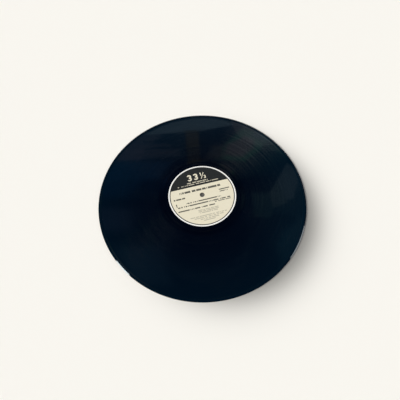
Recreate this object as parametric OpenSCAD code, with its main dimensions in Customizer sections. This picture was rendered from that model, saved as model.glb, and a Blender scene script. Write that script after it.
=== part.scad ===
// Twelve-inch long-playing record: one pressed disc with a paper label on each side.
// Millimetres. +Z points up out of side one, and +X is the way its label reads. The origin
// is on the spindle axis, level with the surface that the record lies on.

/* [Disc] */
// Diameter over the rounded rim
disc_d = 301.6; // [300.8:0.2:302.4]
// Thickness at the label and over the bead
disc_t = 1.9; // [1.7:0.1:2.3]
// Thickness of the recorded area
land_t = 1.2; // [1:0.1:1.4]
// Diameter of the spindle hole
spindle_d = 7.24; // [7.24:0.01:7.33]

/* [Bead and label pad] */
// Width of the bead, from the rim to where it starts to fall away
bead_w = 2.6; // [2.4:0.1:2.6]
// Width of the bead's rounded outer side
rim_w = 2.2; // [1:0.1:2.3]
// Width of the slope from the bead down to the recorded area
bead_slope_w = 2; // [1:0.1:2]
// Width of the ring of vinyl round the label
shoulder_w = 0.5; // [0.3:0.1:0.8]
// Width of the slope from that ring down to the run-out area
pad_slope_w = 1.6; // [1:0.1:1.6]

/* [Labels] */
// Diameter of a paper label
label_d = 100; // [98:0.5:100]
// Thickness of the paper
label_t = 0.12; // [0.1:0.02:0.2]

/* [Groove] */
// Radius at which the lead-in starts
lead_in_r = 145.7; // [145.1:0.1:145.7]
// Radius at which the recording starts
music_out_r = 142.5; // [141:0.5:143]
// Radius at which the recording ends
music_in_r = 64.5; // [62:0.5:68]
// Radius of the closed groove that ends each side
lock_r = 53.3; // [53.2:0.1:54]
// Turns of the lead-in
lead_in_turns = 2; // [1:1:3]
// Turns of the run-out
run_out_turns = 2; // [1:1:3]
// Relative lengths of the tracks on side one, from the rim inwards
tracks_one = [19, 5, 7, 15]; // [3:1:20]
// Relative lengths of the tracks on side two
tracks_two = [14, 12, 9, 11]; // [3:1:20]
// Pitch of the recording, drawn about ten times as coarse as a real one
music_pitch = 1.5; // [1.4:0.1:3]
// Pitch of the single turn in the gap between two tracks
gap_pitch = 3; // [2:0.5:4]
// Width of the groove, drawn with upright walls in place of a real one's narrow V
groove_w = 0.4; // [0.2:0.1:0.5]
// Depth of the groove
groove_depth = 0.1; // [0.06:0.02:0.2]

/* [Hidden] */
$fn = 180;
rim_steps = 8;
slope_steps = 4;
cut_lift = 0.05;
rim_r = disc_d / 2;
label_r = label_d / 2;

// Sum of the first n values
function sum(values, n) = n == 0 ? 0 : values[n - 1] + sum(values, n - 1);

// [pitch, turns] of each part of a side's spiral, from the rim inwards: the lead-in, the
// tracks with a single coarse turn between them, and the run-out
function spiral_zones(tracks) =
    let (
        gaps = len(tracks) - 1,
        span = music_out_r - music_in_r - gaps * gap_pitch,
        turns = round(span / music_pitch),
        share = turns / sum(tracks, gaps + 1),
        ends = [for (i = [0:gaps + 1]) round(share * sum(tracks, i))]
    )
    concat(
        [[(lead_in_r - music_out_r) / lead_in_turns, lead_in_turns]],
        [for (i = [0:gaps]) each [
            [span / turns, ends[i + 1] - ends[i]],
            if (i < gaps) [gap_pitch, 1]
        ]],
        [[(music_in_r - lock_r) / run_out_turns, run_out_turns]]
    );

// Points of a slope that eases out of the raised level and into the recorded area, as half
// a wave of a cosine from high_x to low_x
function slope(high_x, low_x) = [
    for (i = [0:slope_steps])
        let (t = i / slope_steps)
            [high_x + (low_x - high_x) * t, (land_t + (disc_t - land_t) * (1 + cos(180 * t)) / 2) / 2]
];

// Points of the rounded rim, a quarter of an ellipse from the crown of the bead to the edge
function rim() = [
    for (i = [0:rim_steps])
        let (angle = 90 * (1 - i / rim_steps))
            [rim_r - rim_w * (1 - cos(angle)), disc_t / 2 * sin(angle)]
];

// Section of the disc from the axis to the rim, alike above and below its middle plane
module disc_profile() {
    pad_r = label_r + shoulder_w;
    bead_r = rim_r - bead_w;
    pad_slope = slope(pad_r, pad_r + pad_slope_w);
    bead_slope = slope(bead_r, bead_r - bead_slope_w);
    face = concat(
        [[0, disc_t / 2]],
        pad_slope,
        [for (i = [slope_steps:-1:0]) bead_slope[i]],
        rim()
    );
    polygon(concat(face, [for (i = [len(face) - 2:-1:0]) [face[i][0], -face[i][1]]]));
}

// Section of the cutter for turns of the groove at these radii, joined clear of the surface
module groove_profile(radii) {
    cuts = [
        for (r = radii, side = [1, -1])
            let (x = r + side * groove_w / 2, top = [x, cut_lift], foot = [x, -groove_depth])
                each side == 1 ? [top, foot] : [foot, top]
    ];
    outer_x = cuts[0][0];
    inner_x = cuts[len(cuts) - 1][0];
    polygon(concat(cuts, [[inner_x, 2 * cut_lift], [outer_x, 2 * cut_lift]]));
}

// Part of the spiral at one pitch. Each turn is two half circles, whose centres lie half a
// step to either side of the axis, so that the ends meet in line and the groove runs on
module groove_zone(outer_r, pitch, turns) {
    step = pitch / 2;
    for (half = [0, 1])
        rotate(180 * half)
            translate([step / 2, 0])
                rotate_extrude(angle = 180)
                    groove_profile([for (i = [0:turns - 1]) outer_r - (2 * i + half + 0.5) * step]);
}

// The one unbroken groove of a side, which closes on itself at the label
module groove(tracks) {
    zones = spiral_zones(tracks);
    widths = [for (zone = zones) zone[0] * zone[1]];
    for (i = [0:len(zones) - 1])
        groove_zone(lead_in_r - sum(widths, i), zones[i][0], zones[i][1]);
    rotate_extrude() groove_profile([lock_r]);
}

// What the press leaves out of one face, drawn from the middle plane up
module face_cut(tracks) {
    translate([0, 0, land_t / 2]) groove(tracks);
    translate([0, 0, disc_t / 2 - label_t]) cylinder(r = label_r, h = label_t + 1);
}

module spindle_hole() {
    translate([0, 0, -1]) cylinder(d = spindle_d, h = disc_t + 2);
}

module paper_label() {
    difference() {
        cylinder(r = label_r, h = label_t);
        spindle_hole();
    }
}

module vinyl_disc() {
    color([0.03, 0.04, 0.07])
        difference() {
            translate([0, 0, disc_t / 2]) rotate_extrude() disc_profile();
            translate([0, 0, disc_t / 2]) face_cut(tracks_one);
            translate([0, 0, disc_t / 2]) rotate([180, 0, 0]) face_cut(tracks_two);
            spindle_hole();
        }
}

module label_side_one() {
    color([0.9, 0.86, 0.74]) translate([0, 0, disc_t - label_t]) paper_label();
}

module label_side_two() {
    color([0.9, 0.86, 0.74]) paper_label();
}

vinyl_disc();
label_side_one();
label_side_two();
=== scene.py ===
"""Dresses the long-playing record: a pressed vinyl disc with its spiral groove, and a printed
paper label on each side."""

import bmesh
import bpy
import numpy as np
from mathutils import Matrix, Vector


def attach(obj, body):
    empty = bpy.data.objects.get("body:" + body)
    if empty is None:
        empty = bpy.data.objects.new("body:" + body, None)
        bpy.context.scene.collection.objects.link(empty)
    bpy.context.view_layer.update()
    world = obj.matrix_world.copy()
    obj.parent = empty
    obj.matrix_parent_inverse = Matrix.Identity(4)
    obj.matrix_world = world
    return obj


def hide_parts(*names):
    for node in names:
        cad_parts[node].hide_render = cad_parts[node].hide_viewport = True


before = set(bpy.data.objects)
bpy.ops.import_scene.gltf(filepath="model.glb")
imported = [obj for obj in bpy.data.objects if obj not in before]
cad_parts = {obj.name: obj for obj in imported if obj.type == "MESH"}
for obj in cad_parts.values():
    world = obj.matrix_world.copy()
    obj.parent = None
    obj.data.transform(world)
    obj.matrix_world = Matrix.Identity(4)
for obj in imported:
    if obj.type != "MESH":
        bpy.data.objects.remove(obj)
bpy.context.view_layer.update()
scene = bpy.context.scene
scene.view_settings.view_transform = "Standard"


# The camera looks down at the record from the front, a little to the left of the way the
# label reads. Its place, lens and aim come from the outlines of the disc and the label.
PHOTO_WIDTH_PX = 400
FOCAL_PX = 304.97
SENSOR_MM = 36
CAMERA_DISTANCE = 0.4480
CAMERA_ELEVATION = np.radians(62.85)
CAMERA_AZIMUTH = np.radians(-14.9)
AIM_RIGHT_PX, AIM_UP_PX = 2.20, 4.62
CLIP_START, CLIP_END = 0.01, 100

turn = Matrix.Rotation(CAMERA_AZIMUTH, 3, "Z")
back = turn @ Vector((0, -np.cos(CAMERA_ELEVATION), np.sin(CAMERA_ELEVATION)))
forward, right = -back, turn @ Vector((1, 0, 0))
up = right.cross(forward)
pan = Matrix.Rotation(np.arctan2(AIM_RIGHT_PX, FOCAL_PX), 3, up)
right, forward = pan @ right, pan @ forward
tilt = Matrix.Rotation(-np.arctan2(AIM_UP_PX, FOCAL_PX), 3, right)
forward, up = tilt @ forward, tilt @ up

camera_data = bpy.data.cameras.new("camera")
camera_data.sensor_width = SENSOR_MM
camera_data.lens = FOCAL_PX / PHOTO_WIDTH_PX * SENSOR_MM
camera_data.clip_start, camera_data.clip_end = CLIP_START, CLIP_END
camera = bpy.data.objects.new("camera", camera_data)
scene.collection.objects.link(camera)
axes = Matrix((right, up, -forward)).transposed()
camera.matrix_world = Matrix.Translation(back * CAMERA_DISTANCE) @ axes.to_4x4()
scene.camera = camera


# The room that the glossy disc mirrors: a dim blue ceiling with paler panels, and walls that
# are pale on the near side and dark on the far side. The camera itself sees only the
# backdrop's plain pale cream.
ROOM_TURN = CAMERA_AZIMUTH
BACKDROP = (0.947, 0.922, 0.863, 1)
WALLS, FAR_WALL = (0.40, 0.42, 0.46, 1), (0.05, 0.07, 0.10, 1)
WALLS_END, FAR_WALL_START = -0.4, 0.3
CEILING = (0.001, 0.017, 0.072, 1)
WALLS_TOP, CEILING_EDGE = np.sin(np.radians(4)), np.sin(np.radians(26))

# Each panel's radiance, the half width of its soft edge, and its outline as the disc mirrors
# it to an eye this far back and up, in millimetres right of the axis and beyond it. Outlines
# are convex and run counterclockwise, and a later panel hides an earlier one.
EYE_BACK, EYE_UP = 207, 400
LOWEST_PANEL = 0.3
PANELS = (
    # Pale glow and streaks at the upper left
    ((0.022, 0.070, 0.150), 6, [(-145, 56), (-28, 64), (-26, 117), (-120, 112)]),
    ((0.200, 0.215, 0.320), 4, [(-145, 56), (-96, 61), (-84, 86), (-120, 98), (-145, 84)]),
    ((0.110, 0.160, 0.260), 3, [(-96, 62), (-36, 68), (-36, 82), (-90, 82)]),
    ((0.170, 0.190, 0.270), 1.2, [(-114, 66), (-42, 75), (-42, 78), (-114, 70)]),
    ((0.150, 0.180, 0.260), 1.2, [(-118, 81), (-50, 88), (-50, 90), (-118, 85)]),
    ((0.004, 0.030, 0.085), 1.0, [(-92, 79), (-36, 84), (-36, 86), (-92, 80.5)]),
    ((0.300, 0.310, 0.410), 0.8, [(-108, 75), (-70, 79), (-70, 80.5), (-108, 76)]),
    ((0.230, 0.250, 0.350), 0.8, [(-100, 86), (-58, 91), (-58, 92), (-100, 87)]),
    ((0.165, 0.210, 0.310), 5, [(-118, 90), (-82, 90), (-66, 112), (-96, 118)]),
    ((0.004, 0.030, 0.085), 1.0, [(-96, 94), (-40, 98), (-40, 100), (-96, 96)]),
    ((0.230, 0.260, 0.360), 0.8, [(-92, 100), (-66, 103), (-66, 104), (-92, 101.5)]),
    # Broad dim glows at the left, the lower left and the lower right
    ((0.006, 0.060, 0.200), 9, [(-170, -4), (-112, -4), (-92, 24), (-170, 24)]),
    ((0.016, 0.100, 0.270), 6, [(-170, 20), (-66, 26), (-46, 58), (-170, 58)]),
    ((0.055, 0.080, 0.180), 7, [(-170, -62), (-96, -56), (-104, -24), (-170, -22)]),
    ((0.040, 0.090, 0.185), 9, [(-90, -130), (-40, -130), (-56, -80), (-120, -80)]),
    ((0.045, 0.140, 0.235), 8, [(150, -34), (116, -56), (102, -76), (104, -108), (150, -80)]),
    # Right edge, the glow round the bent window patch, and the patch in three parts
    ((0.060, 0.140, 0.230), 3, [(130, -74), (160, -80), (160, 30), (138, 30)]),
    ((0.015, 0.055, 0.120), 8, [(60, 30), (150, 30), (150, 78), (84, 78)]),
    ((0.030, 0.080, 0.150), 7, [(104, -30), (150, -38), (150, 10), (108, 0)]),
    ((0.190, 0.290, 0.380), 2, [(131, 54), (112, 22), (122, -10), (134, -6), (150, 40)]),
    ((0.160, 0.255, 0.310), 2, [(112, 22), (98, 0), (100, -24), (124, -13)]),
    ((0.060, 0.140, 0.185), 3, [(74, -36), (96, -38), (104, -23), (98, 2), (74, 2)]),
    # Fan of light at the upper right, green at its border and pale within
    (
        (0.060, 0.330, 0.250),
        5,
        [(22, 62), (66, 58), (92, 80), (104, 98), (86, 118), (66, 122), (24, 76)],
    ),
    ((0.160, 0.180, 0.200), 7, [(4, 62), (32, 62), (36, 88), (18, 88)]),
    ((0.330, 0.300, 0.350), 5, [(34, 70), (62, 66), (82, 82), (84, 100), (70, 106), (40, 90)]),
    ((0.150, 0.290, 0.380), 4, [(96, 96), (112, 96), (92, 124), (80, 108)]),
    # Window at the top, and the dull upright bar below it in two parts
    (
        (0.345, 0.530, 0.680),
        2,
        [
            (-96, 109),
            (0, 118),
            (54, 131),
            (37, 140),
            (12, 145.5),
            (-12, 145.5),
            (-49, 136),
            (-72, 125),
            (-90, 113),
        ],
    ),
    ((0.090, 0.085, 0.070), 2, [(-26, 90), (-22, 52), (-2, 52), (-5, 90)]),
    ((0.170, 0.150, 0.100), 3, [(-28, 118), (-25, 88), (-5, 88), (-6, 118)]),
)


class Wire:
    """One output of a node. Sums, products and comparisons of wires and numbers add the Math
    nodes that work them out, & is the smaller of two and | the larger."""

    def __init__(self, tree, socket=None):
        self.tree, self.socket = tree, socket

    def node(self, kind, values, output=0, **settings):
        """Adds a node of the kind, sets it up, then fills or links its inputs, and returns one
        output as a wire."""
        made = self.tree.nodes.new("ShaderNode" + kind)
        for name, value in settings.items():
            setattr(made, name, value)
        for key, value in values.items():
            if isinstance(value, Wire):
                self.tree.links.new(value.socket, made.inputs[key])
            else:
                made.inputs[key].default_value = value
        return Wire(self.tree, made.outputs[output] if made.outputs else None)

    def math(self, operation, *others):
        """A Math node's result for this wire, followed by the others."""
        return self.node("Math", dict(enumerate((self, *others))), operation=operation)

    def ease(self, low, high):
        """Rises smoothly from 0 at low to 1 at high."""
        ends = {0: self, 1: low, 2: high}
        return self.node("MapRange", ends, interpolation_type="SMOOTHSTEP")

    def mix(self, first, second):
        """The first colour where this wire is 0, and the second where it is 1. The Mix node's
        colours are its inputs 6 and 7 and its output 2."""
        return self.node("Mix", {0: self, 6: first, 7: second}, output=2, data_type="RGBA")

    def __add__(self, other):
        return self.math("ADD", other)

    def __sub__(self, other):
        return self.math("SUBTRACT", other)

    def __rsub__(self, other):
        return self.node("Math", {0: other, 1: self}, operation="SUBTRACT")

    def __mul__(self, other):
        return self.math("MULTIPLY", other)

    def __truediv__(self, other):
        return self.math("DIVIDE", other)

    def __rtruediv__(self, other):
        return self.node("Math", {0: other, 1: self}, operation="DIVIDE")

    def __lt__(self, other):
        return self.math("LESS_THAN", other)

    def __gt__(self, other):
        return self.math("GREATER_THAN", other)

    def __abs__(self):
        return self.math("ABSOLUTE")

    def __or__(self, other):
        return self.math("MAXIMUM", other)

    def __and__(self, other):
        return self.math("MINIMUM", other)

    __radd__, __rmul__ = __add__, __mul__


def in_room(vector):
    """The vector in the room's own axes, across, away and up, which stand at a fixed angle
    about Z to the record's."""
    return vector.node("VectorRotate", {0: vector, "Angle": -ROOM_TURN}, rotation_type="Z_AXIS")


world = bpy.data.worlds.new("room")
scene.world = world
world.use_nodes = True
world.node_tree.nodes.clear()
room = Wire(world.node_tree)
direction = in_room(room.node("TexCoord", {}, output="Generated"))
across, away, height = (room.node("SeparateXYZ", {0: direction}, output=n) for n in range(3))
walls = away.ease(WALLS_END, FAR_WALL_START).mix(WALLS, FAR_WALL)
dome = height.ease(WALLS_TOP, CEILING_EDGE).mix(walls, CEILING)
mirrored_x = across / height * EYE_UP
mirrored_y = away / height * EYE_UP - EYE_BACK
for glow, blur, outline in PANELS:
    inside = height > LOWEST_PANEL
    for (x0, y0), (x1, y1) in zip(outline, outline[1:] + outline[:1]):
        length = np.hypot(x1 - x0, y1 - y0)
        step_x, step_y = (x1 - x0) / length, (y1 - y0) / length
        depth = (mirrored_y - y0) * step_x - (mirrored_x - x0) * step_y
        inside = inside & depth.ease(-blur, blur)
    dome = inside.mix(dome, (*glow, 1))
seen = room.node("LightPath", {}, output="Is Camera Ray")
sky = room.node("Background", {"Color": seen.mix(dome, BACKDROP), "Strength": 1.0})
room.node("OutputWorld", {"Surface": sky})


# The floor is one wide matt sheet of pale cream paper, just under the record. A soft painted
# shadow darkens its colour to the record's lower right, wider than the shadow that the record
# casts.
FLOOR_HALF_WIDTH = 12.0
FLOOR_DROP = 0.0002
BLACK = (0, 0, 0, 1)
SHADE_PLACE, SHADE_R, SHADE_BLUR, SHADE_DEPTH = (0.0342, -0.0203, 0), 0.1302, 0.01127, 0.85


def fresh_material(name):
    """An empty node material, and the wire that starts its nodes."""
    made = bpy.data.materials.new(name)
    made.use_nodes = True
    made.node_tree.nodes.clear()
    return made, Wire(made.node_tree)


floor_mesh = bpy.data.meshes.new("floor")
corners = np.array([(-1, -1, 0), (1, -1, 0), (1, 1, 0), (-1, 1, 0)]) * FLOOR_HALF_WIDTH
corners[:, 2] = -FLOOR_DROP
floor_mesh.from_pydata(corners.tolist(), [], [(0, 1, 2, 3)])
floor = bpy.data.objects.new("floor", floor_mesh)
scene.collection.objects.link(floor)
paper_sheet, wire = fresh_material("backdrop_paper")
ground = in_room(wire.node("TexCoord", {}, output="Object"))
# Painted shadow: the floor's colour darkens towards black within a blurred circle beside the
# record.
from_shade = wire.node("VectorMath", {0: ground, 1: SHADE_PLACE}, output=1, operation="DISTANCE")
fall_off = ((from_shade - SHADE_R) / SHADE_BLUR).math("EXPONENT")
painted_shadow_tone = (SHADE_DEPTH / (1 + fall_off)).mix(BACKDROP, BLACK)
wire.node("OutputMaterial", {"Surface": wire.node("BsdfDiffuse", {"Color": painted_shadow_tone})})
floor_mesh.materials.append(paper_sheet)


# The lamps are soft, stand far off and light everything evenly. Two carry the light, two
# catch the rim's bevel, and three faint ones shine across the grooves from beyond.
LAMP_WHITE = (1.0, 0.965, 0.90)
NOT_MIRRORED = ("left_lamp", "fill_lamp")

# Name, direction in the room as across, away and up, power, width in degrees, and tint
LAMPS = (
    ("left_lamp", (-0.84, -0.25, 0.48), 2.74, 20, LAMP_WHITE),
    ("fill_lamp", (-0.25, -0.43, 0.86), 1.68, 30, LAMP_WHITE),
    ("rim_lamp", (-0.791, -0.333, 0.513), 0.46, 12, (0.85, 0.97, 1.0)),
    ("right_lamp", (0.915, -0.040, 0.402), 0.32, 22, (0.85, 0.95, 1.0)),
    ("groove_lamp", (0.190, 0.663, 0.724), 0.0085, 12, (1.0, 0.94, 1.0)),
    ("second_groove_lamp", (0.225, 0.646, 0.730), 0.0055, 12, (0.88, 0.98, 1.0)),
    ("green_lamp", (0.264, 0.619, 0.739), 0.003, 10, (0.30, 1.0, 0.75)),
)
for name, towards, power, spread, tint in LAMPS:
    light = bpy.data.lights.new(name, "SUN")
    light.color, light.energy, light.angle = tint, power, np.radians(spread)
    lamp = bpy.data.objects.new(name, light)
    scene.collection.objects.link(lamp)
    lamp.rotation_mode = "QUATERNION"
    lamp.rotation_quaternion = (turn @ Vector(towards)).to_track_quat("Z", "Y")
    lamp.visible_glossy = name not in NOT_MIRRORED


# The disc is moulded in one pressing from black vinyl: a raised bead round the edge, grooved
# lands, and a raised pad under each label. Each side's groove is one spiral that ends in a
# closed circle. Its sizes are in millimetres, and its heights are those of side one.
MM = 0.001
SPOKES = 240
SLOPE_STEPS = 8
RIM_R, DISC_T, LAND_Z = 150.8, 1.9, 1.55
RIM_W = 2.2
RIM_ANGLES = np.radians([90, 84, 78, 72, 68, 65, 12, 8, 4, 0])
BEVEL_START, BEVEL_INSET = 5, 0.04
BEAD_TOP_R, BEAD_FOOT_R = 148.2, 146.2
LAND_OUT_R, LEAD_IN_R, MUSIC_OUT_R = 145.9, 145.7, 142.5
LOCK_R, PAD_FOOT_R, PAD_TOP_R = 53.3, 52.1, 50.5
LABEL_R, LABEL_T, BORE_R = 50.0, 0.12, 3.62
LEAD_IN_TURNS, RUN_OUT_TURNS = 2, 2
MUSIC_PITCH, GAP_PITCH = 1.5, 3.0
TRACK_TURNS = {"one": (19, 5, 7, 15), "two": (14, 12, 9, 11)}
GROOVE_HALF_WIDTH, GROOVE_DEPTH = 0.10, 0.025
GROOVE_SHARE = 0.3
GROOVE_STARTS, DEEPENING_TURNS = 2, 0.25
PER_SPOKE = 3
SMOOTH_FROM_R = BEAD_FOOT_R - 0.1
WELD = 1e-7


def turn_radii(tracks):
    """Radius of the groove after each whole turn: the edge's full circle, the lead-in, the
    tracks with a gap turn between them, the run-out and the closed circle."""
    lead_in = (LEAD_IN_R - MUSIC_OUT_R) / LEAD_IN_TURNS
    radii = [LAND_OUT_R, LAND_OUT_R, LEAD_IN_R]
    radii += [LEAD_IN_R - lead_in * (n + 1) for n in range(LEAD_IN_TURNS)]
    for number, turns in enumerate(tracks):
        radii += [radii[-1] - GAP_PITCH] if number else []
        radii += [radii[-1] - MUSIC_PITCH * (n + 1) for n in range(turns)]
    run_out = (radii[-1] - LOCK_R) / RUN_OUT_TURNS
    radii += [radii[-1] - run_out * (n + 1) for n in range(RUN_OUT_TURNS)]
    return np.array(radii + [LOCK_R])


def grooved_land(tracks):
    """Points in threes along the spiral: at t turns the groove's bottom lies at radius rho(t),
    its inner shoulder half a width further in, and the next turn's outer shoulder half a width
    outside rho(t + 1). Half widths stay under a share of the pitch."""
    whole = turn_radii(tracks)
    t = np.arange((len(whole) - 1) * SPOKES + 1) / SPOKES
    rho = np.interp(t, np.arange(len(whole)), whole)
    following = np.concatenate([rho[SPOKES:], np.full(SPOKES, LOCK_R)])
    half = np.minimum(GROOVE_HALF_WIDTH, GROOVE_SHARE * (rho - following))
    half_next = np.concatenate([half[SPOKES:], half[-1:].repeat(SPOKES)])
    half_next = np.minimum(np.maximum(half_next, 0), GROOVE_SHARE * (rho - following))
    depth = GROOVE_DEPTH * np.clip((t - GROOVE_STARTS) / DEEPENING_TURNS, 0, 1)
    radius = np.stack([rho, rho - half, following + half_next], 1)
    level = np.stack([LAND_Z - depth, np.full_like(t, LAND_Z), np.full_like(t, LAND_Z)], 1)
    angle = 2 * np.pi * t[:, None]
    return np.stack([radius * np.cos(angle), radius * np.sin(angle), level], 2)


def land_faces(count):
    """Quads between neighbouring spokes of the spiral, the third strip reaching one turn on."""
    spoke = np.arange(count - SPOKES - 1)[:, None]
    column = np.arange(PER_SPOKE)
    near = PER_SPOKE * spoke + column
    inward = np.where(column < PER_SPOKE - 1, near + 1, PER_SPOKE * (spoke + SPOKES))
    near, inward = np.broadcast_arrays(near, inward)
    return np.stack([near, near + PER_SPOKE, inward + PER_SPOKE, inward], 2).reshape(-1, 4)


def slope(high_r, low_r):
    """Half a cosine from the high level down to the land, as radius and height."""
    part = np.linspace(0, 1, SLOPE_STEPS + 1)
    height = LAND_Z + (DISC_T - LAND_Z) * (1 + np.cos(np.pi * part)) / 2
    return np.stack([high_r + (low_r - high_r) * part, height], 1)


def upper_rim():
    """A quarter of an ellipse, radius less the width times one minus the cosine and half the
    thickness times the sine, cut flat by a bevel along one chord. Two points on the chord,
    close to its ends, keep it flat when the faces are shaded smooth."""
    radius = RIM_R - RIM_W * (1 - np.cos(RIM_ANGLES))
    rim = np.stack([radius, DISC_T / 2 * (1 + np.sin(RIM_ANGLES))], 1)
    chord = rim[BEVEL_START + 1] - rim[BEVEL_START]
    bevel = rim[BEVEL_START] + chord * [[BEVEL_INSET], [1 - BEVEL_INSET]]
    return np.concatenate([rim[: BEVEL_START + 1], bevel, rim[BEVEL_START + 1 :]])


def turned_over(profile):
    """The profile on side two: each height taken from the thickness, and the order reversed."""
    return np.stack([profile[::-1, 0], DISC_T - profile[::-1, 1]], 1)


def rings(profile):
    """The profile's points of radius and height, each carried round the axis on every spoke."""
    angle = 2 * np.pi * np.arange(SPOKES) / SPOKES
    r, z = profile[:, :1], profile[:, 1:]
    return np.stack([r * np.cos(angle), r * np.sin(angle), z + 0 * angle], 2)


def ring_faces(count):
    """Quads between neighbouring rings, closed round the axis."""
    row, spoke = np.meshgrid(np.arange(count - 1), np.arange(SPOKES), indexing="ij")
    near = row * SPOKES + spoke
    ahead = row * SPOKES + (spoke + 1) % SPOKES
    return np.stack([near + SPOKES, ahead + SPOKES, ahead, near], 2).reshape(-1, 4)


def pressing():
    """Points and quads of the whole disc: rings for the bead and rim between the two lands and
    for the pads, label seats and bore, and a spiral for each land. Side two is side one turned
    about X, with tracks of its own."""
    rim = upper_rim()
    bead = np.concatenate([[(LAND_OUT_R, LAND_Z)], slope(BEAD_TOP_R, BEAD_FOOT_R)[::-1]])
    edge = np.concatenate([bead, rim, turned_over(rim)[1:], turned_over(bead)])
    lock = [(LOCK_R, LAND_Z - GROOVE_DEPTH), (LOCK_R - GROOVE_HALF_WIDTH, LAND_Z)]
    seat = [(LABEL_R, DISC_T), (LABEL_R, DISC_T - LABEL_T), (BORE_R, DISC_T - LABEL_T)]
    pad = np.concatenate([lock, slope(PAD_TOP_R, PAD_FOOT_R)[::-1], seat])
    middle = np.concatenate([pad, turned_over(pad)])
    lower_land = grooved_land(TRACK_TURNS["two"]) * (1, -1, -1) + (0, 0, DISC_T)
    sheets = [(rings(profile), ring_faces(len(profile))) for profile in (edge, middle)]
    for land in (grooved_land(TRACK_TURNS["one"]), lower_land):
        sheets.append((land, land_faces(len(land))))
    points, faces, first = [], [], 0
    for grid, quads in sheets:
        points.append(grid.reshape(-1, 3) * MM)
        faces.append(quads + first)
        first += len(points[-1])
    return np.concatenate(points), np.concatenate(faces)


disc_points, disc_quads = pressing()
disc_mesh = bpy.data.meshes.new("vinyl_pressing")
disc_mesh.from_pydata(disc_points.tolist(), [], disc_quads.tolist())
shell = bmesh.new()
shell.from_mesh(disc_mesh)
bmesh.ops.remove_doubles(shell, verts=shell.verts, dist=WELD)
loose = [vertex for vertex in shell.verts if not vertex.link_faces]
bmesh.ops.delete(shell, geom=loose, context="VERTS")
bmesh.ops.recalc_face_normals(shell, faces=shell.faces)
shell.to_mesh(disc_mesh)
shell.free()
centres = np.empty(3 * len(disc_mesh.polygons), np.float32)
disc_mesh.polygons.foreach_get("center", centres)
centre_r = np.hypot(centres[0::3], centres[1::3]) / MM
smooth = (centre_r > SMOOTH_FROM_R) | ((centre_r > PAD_TOP_R) & (centre_r < PAD_FOOT_R))
disc_mesh.polygons.foreach_set("use_smooth", smooth)
disc_mesh.update()
vinyl_disc = bpy.data.objects.new("vinyl_pressing", disc_mesh)
scene.collection.objects.link(vinyl_disc)

# Plain black vinyl, and a lighter blue-black that is a painted sheen: the grooves' scattered light
# put into the base colour.
VINYL = (0.0003, 0.0004, 0.0008, 1)
SHEEN_PAINTED_VINYL = (0.0003, 0.0042, 0.0078, 1)
DUST = (0.16, 0.15, 0.13, 1)
MUSIC_STARTS, MUSIC_ENDS = (62.0, 66.0), (143.0, 145.0)
GAP_EDGE, GAP_CALM = (0.5, 1.3), 0.1
LOUD_FINE_SHARE, LOUD_ENDS = 0.25, (0.36, 0.64)
WAVE_FINE_SHARE, WAVE_HEIGHT = 0.12, 0.00035
SCUFF_ANGLE, SCUFF_STRETCH, SCUFF_EDGE = 0.6, (0.012, 0.9, 0.3), (0.66, 0.74)
SPECKS_PER_MM, SPECK_SPREAD, SPECK_R = 0.07, (0.55, 1.0), 0.022
SPECK_EDGE, SMALLEST_SPECK, CLEAN_R = (0.7, 1.3), 0.004, 52.5
ABOVE_ZERO = 0.0001

# Ring noise: how much to the millimetre, its roughness, and its shift on side one
FINE_NOISE, BROAD_NOISE, NOISE_DETAIL = (0.9, 0.7, 31.0), (0.30, 0.5, 57.0), 2.0

# Roughness of plain vinyl, and what the groove, its loud rings and the scuffs add
PLAIN_ROUGH, GROOVE_ROUGH, LOUD_ROUGH, SCUFF_ROUGH = 0.05, 0.05, 0.11, 0.03

# Gloss, and a painted sheen that lightens the base colour where the grooves would scatter light,
# change by these amounts between two radii each
LABEL_GLOSS, DULLING = 0.40, 0.06
GLOSS_STEPS = ((60.0, 64.0, 0.25), (142.5, 145.5, -0.15), (148.6, 149.4, 0.40))
PAINTED_SHEEN_STEPS = ((61.0, 66.0, 0.12), (60.0, 165.0, 0.80), (144.0, 147.0, 0.15))


def record_place(wire):
    """Where on the record: the place in millimetres, its x and y, the radius as the root of x
    squared plus y squared, and 1 on side one or 0 on side two."""
    place = wire.node("TexCoord", {}, output="Object")
    place = wire.node("VectorMath", {0: place, "Scale": 1 / MM}, operation="SCALE")
    x, y, z = (wire.node("SeparateXYZ", {0: place}, output=n) for n in range(3))
    return place, x, y, (x * x + y * y).math("SQRT"), z > DISC_T / 2


def from_gap(tracks):
    """Distance to the nearest track gap, whose middle lies inside the recording's outer radius
    by the pitch times the turns before it and by the gaps before it and half its own."""
    turns = np.cumsum(tracks)[:-1]
    gaps = MUSIC_OUT_R - MUSIC_PITCH * turns - GAP_PITCH * (np.arange(len(turns)) + 0.5)
    nearest = abs(radius - gaps[0])
    for gap in gaps[1:]:
        nearest = nearest & abs(radius - gap)
    return nearest


def ring_noise(per_mm, roughness, side_shift):
    """Noise of the radius alone, so that each value runs round the disc, shifted on side one."""
    along = radius + side_one * side_shift
    return wire.node(
        "TexNoise",
        {"W": along, "Scale": per_mm, "Detail": NOISE_DETAIL, "Roughness": roughness},
        noise_dimensions="1D",
    )


def stepped(value, steps):
    """The value plus each step's change, eased in between its two radii."""
    for low, high, change in steps:
        value = value + radius.ease(low, high) * change
    return value


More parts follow.
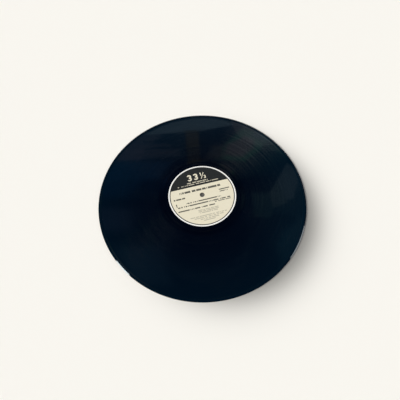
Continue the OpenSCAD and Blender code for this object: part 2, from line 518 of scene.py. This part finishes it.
vinyl, wire = fresh_material("pressed_vinyl")
place, x, y, radius, side_one = record_place(wire)
gap_distance = side_one * from_gap(TRACK_TURNS["one"])
gap_distance = gap_distance + (1 - side_one) * from_gap(TRACK_TURNS["two"])
music = 1 - GAP_CALM + gap_distance.ease(*GAP_EDGE) * GAP_CALM
music = music * radius.ease(*MUSIC_STARTS) * (1 - radius.ease(*MUSIC_ENDS))
fine, broad = ring_noise(*FINE_NOISE), ring_noise(*BROAD_NOISE)
loud = (fine * LOUD_FINE_SHARE + broad * (1 - LOUD_FINE_SHARE)).ease(*LOUD_ENDS)
scuffs = wire.node("VectorRotate", {0: place, "Angle": SCUFF_ANGLE}, rotation_type="Z_AXIS")
scuffs = wire.node("VectorMath", {0: scuffs, 1: SCUFF_STRETCH}, operation="MULTIPLY")
scuffs = wire.node("TexNoise", {"Vector": scuffs, "Scale": 1.0, "Detail": 3.0, "Roughness": 0.7})
scuffs = scuffs.ease(*SCUFF_EDGE)
rough = PLAIN_ROUGH + music * (GROOVE_ROUGH + loud * LOUD_ROUGH) + scuffs * SCUFF_ROUGH
gloss = stepped(LABEL_GLOSS, GLOSS_STEPS) - music * loud * DULLING - scuffs * DULLING
painted_sheen = stepped(0.0, PAINTED_SHEEN_STEPS)
from_speck, chance = (
    wire.node("TexVoronoi", {"Vector": place, "Scale": SPECKS_PER_MM}, output=n) for n in (0, 1)
)
speck_r = wire.node("SeparateXYZ", {0: chance}, output=0).ease(*SPECK_SPREAD) * SPECK_R
specks = 1 - (from_speck / (speck_r + ABOVE_ZERO)).ease(*SPECK_EDGE)
specks = specks * (speck_r > SMALLEST_SPECK) * (radius > CLEAN_R)
waves = fine * WAVE_FINE_SHARE + broad * (1 - WAVE_FINE_SHARE)
skin = wire.node(
    "BsdfPrincipled",
    {
        # The base colour carries the grooves' painted sheen, with the dust specks over it.
        "Base Color": specks.mix(painted_sheen.mix(VINYL, SHEEN_PAINTED_VINYL), DUST),
        "Roughness": rough,
        "Normal": wire.node("Bump", {"Height": waves, "Distance": WAVE_HEIGHT, "Strength": 1.0}),
        "IOR": 1.5,
        "Anisotropic": 0.85,
        "Anisotropic Rotation": 0.25,
        "Coat Weight": gloss,
        "Coat Roughness": 0.03,
    },
)
wire.node("OutputMaterial", {"Surface": skin})
disc_mesh.materials.append(vinyl)
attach(vinyl_disc, "root")
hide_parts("vinyl_disc")


# Each label is a disc of uncoated paper, cream with a white edge and printed in one dark ink,
# and the press seals it to the vinyl. Print is placed in millimetres right of the spindle
# and above it as the label is read.
CREAM = (0.808, 0.752, 0.588, 1)
EDGE_WHITE = (0.97, 0.96, 0.92, 1)
INK = (0.022, 0.024, 0.024, 1)
WHITE, AGED = (1, 1, 1, 1), (0.86, 0.80, 0.66, 1)
AGEING = 0.16
FIBRES_PER_M, CLOUDS_PER_M = 900.0, 45.0
FIBRE_HEIGHT = 0.00003
PAPER_ROUGH, INK_SMOOTHING = 0.72, 0.2
DASHES_PER_MM, MISSING_DASHES = 0.9, 0.14
# Beyond the last of these radii the label's edge is drawn in the dark ink colour.
LINE_R, LINE_HALF_WIDTH, CREAM_R, DARK_EDGE_R = 47.0, 0.65, 47.2, 49.5
SEGMENT_FOOT = 16.5
LIGHT_SHADE, DARK_SHADE, FAINT_SHADE = 0.75, 0.88, 0.38
INK_LEAST, INK_GRAIN = 0.95, 0.1

# The speed mark, 33 1/3, and the side's number: each numeral's middle, height and weight
WHOLE = ((-11.5, 32.0, 11.0, 2.3), (-2.0, 32.0, 11.0, 2.3))
OVER_SLASH, UNDER_SLASH = (6.4, 34.6, 5.6, 1.3), (11.6, 29.2, 5.6, 1.3)
SLASH = ((5.6, 26.8), (11.4, 37.2), 1.0)
SIDE_NUMBER = (-40.0, -8.6, 5.0, 1.2)

# Rows of small print: the middle's place, width, height, and the seed of the breaks
LIGHT_ROWS = ((-1.0, 23.3, 32.0, 1.5, 7), (-1.0, 20.3, 62.0, 1.3, 3))
DARK_ROWS = (
    (-1.0, 9.5, 62.0, 3.2, 11),
    (-34.0, 0.8, 17.0, 2.2, 40),
    (34.0, 2.4, 16.0, 1.6, 53),
    (33.0, -0.8, 13.0, 1.4, 66),
    (0.0, -8.4, 52.0, 1.7, 79),
    (0.0, -12.6, 78.0, 1.8, 92),
    (27.0, -15.2, 24.0, 1.1, 105),
    (-13.0, -18.8, 54.0, 1.8, 118),
)
FAINT_ROWS = (
    (3.0, -27.8, 26.0, 1.3, 140),
    (3.0, -23.4, 30.0, 1.3, 150),
    (3.0, -25.6, 30.0, 1.3, 161),
    (1.0, -32.6, 54.0, 1.3, 172),
    (1.0, -35.0, 42.0, 1.3, 183),
    (0.0, -37.4, 30.0, 1.3, 194),
    (0.0, -39.8, 18.0, 1.3, 205),
)

label_paper, wire = fresh_material("printed_label")
paper_place = wire.node("TexCoord", {}, output="Object")
fibres = wire.node(
    "TexNoise", {"Vector": paper_place, "Scale": FIBRES_PER_M, "Detail": 6.0, "Roughness": 0.65}
)
clouds = wire.node("TexNoise", {"Vector": paper_place, "Scale": CLOUDS_PER_M, "Detail": 3.0})
place, x, y, radius, side_one = record_place(wire)
y = y * (side_one * 2 - 1)


def bar(centre_x, centre_y, width, height):
    """1 inside an upright rectangle."""
    return (abs(x - centre_x) < width / 2) & (abs(y - centre_y) < height / 2)


def ring(centre_x, centre_y, round_r, weight):
    """1 within half a weight of a circle."""
    across, along = x - centre_x, y - centre_y
    distance = (across * across + along * along).math("SQRT")
    return abs(distance - round_r) < weight / 2


def stroke(start, end, weight):
    """1 within half a weight of the straight line from start to end."""
    length = np.hypot(end[0] - start[0], end[1] - start[1])
    step_x, step_y = (end[0] - start[0]) / length, (end[1] - start[1]) / length
    across, up_from = x - start[0], y - start[1]
    along = across * step_x + up_from * step_y
    off = up_from * step_x - across * step_y
    return (abs(off) < weight / 2) & (abs(along - length / 2) < length / 2)


def three(centre_x, centre_y, height, weight):
    """The numeral 3: two circles, one above the other, open on the left at mid height."""
    round_r = (height - weight) / 4
    gap_end, gap_half_height = centre_x - 0.3 * round_r, 1.3 * round_r
    upper = ring(centre_x, centre_y + round_r, round_r, weight)
    lower = ring(centre_x, centre_y - round_r, round_r, weight)
    closed = (x > gap_end) | (abs(y - centre_y) > gap_half_height)
    return (upper | lower) & closed


def two(centre_x, centre_y, height, weight):
    """The numeral 2: the top of a circle, a slanted stroke and a foot."""
    round_r = 0.28 * height
    top, foot = centre_y + height / 2 - weight / 2, centre_y - height / 2
    hook_end, slant_top = top - 1.25 * round_r, (centre_x + 0.95 * round_r, top - 1.2 * round_r)
    hook = ring(centre_x, top - round_r, round_r, weight) & (y > hook_end)
    slant = stroke(slant_top, (centre_x - round_r, foot + weight), weight)
    return hook | slant | bar(centre_x, foot + weight / 2, 2 * round_r + weight, weight)


def one(centre_x, centre_y, height, weight):
    """The numeral 1: an upright with a slanted flag."""
    top = centre_y + height / 2
    flag_start = (centre_x - 0.22 * height, top - 0.24 * height)
    flag_end = (centre_x + 0.3 * weight, top - 0.3 * weight)
    upright = stroke((centre_x, centre_y - height / 2), (centre_x, top), weight)
    return upright | stroke(flag_start, flag_end, weight)


def broken_rule(centre_x, centre_y, width, height, seed):
    """A printed rule broken into short uneven dashes. Whether a dash is there is drawn from
    the whole part of x times the dashes to a millimetre, plus the seed."""
    dash = (x * DASHES_PER_MM + seed).math("FLOOR")
    kept = wire.node("TexWhiteNoise", {"W": dash}, noise_dimensions="1D") > MISSING_DASHES
    return bar(centre_x, centre_y, width, height) & kept


def small_print(rows):
    """1 on any of the rows."""
    printed = broken_rule(*rows[0])
    for row in rows[1:]:
        printed = printed | broken_rule(*row)
    return printed


speed = three(*WHOLE[0]) | three(*WHOLE[1])
speed = speed | one(*OVER_SLASH) | stroke(*SLASH) | three(*UNDER_SLASH)
side_number = side_one * one(*SIDE_NUMBER) | (1 - side_one) * two(*SIDE_NUMBER)
segment = (y > SEGMENT_FOOT) & (radius < CREAM_R)
segment = segment * (1 - (speed | small_print(LIGHT_ROWS) * LIGHT_SHADE))
line = abs(radius - LINE_R) < LINE_HALF_WIDTH
dark = (small_print(DARK_ROWS) | side_number) * DARK_SHADE
ink = line | segment | dark | small_print(FAINT_ROWS) * FAINT_SHADE
ink = ink * (INK_LEAST + fibres * INK_GRAIN)
stock = (radius < CREAM_R).mix(EDGE_WHITE, CREAM)
aged = wire.node(
    "Mix",
    {0: AGEING, 6: stock, 7: clouds.mix(AGED, WHITE)},
    output=2,
    data_type="RGBA",
    blend_type="MULTIPLY",
)
sheet_skin = wire.node(
    "BsdfPrincipled",
    {
        "Base Color": ((radius > DARK_EDGE_R) | ink).mix(aged, INK),
        "Roughness": PAPER_ROUGH - ink * INK_SMOOTHING,
        "Normal": wire.node("Bump", {"Height": fibres, "Distance": FIBRE_HEIGHT, "Strength": 0.5}),
        "IOR": 1.45,
        "Specular IOR Level": 0.25,
    },
)
wire.node("OutputMaterial", {"Surface": sheet_skin})
for name in ("label_side_one", "label_side_two"):
    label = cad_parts[name]
    label.data.materials.clear()
    label.data.materials.append(label_paper)
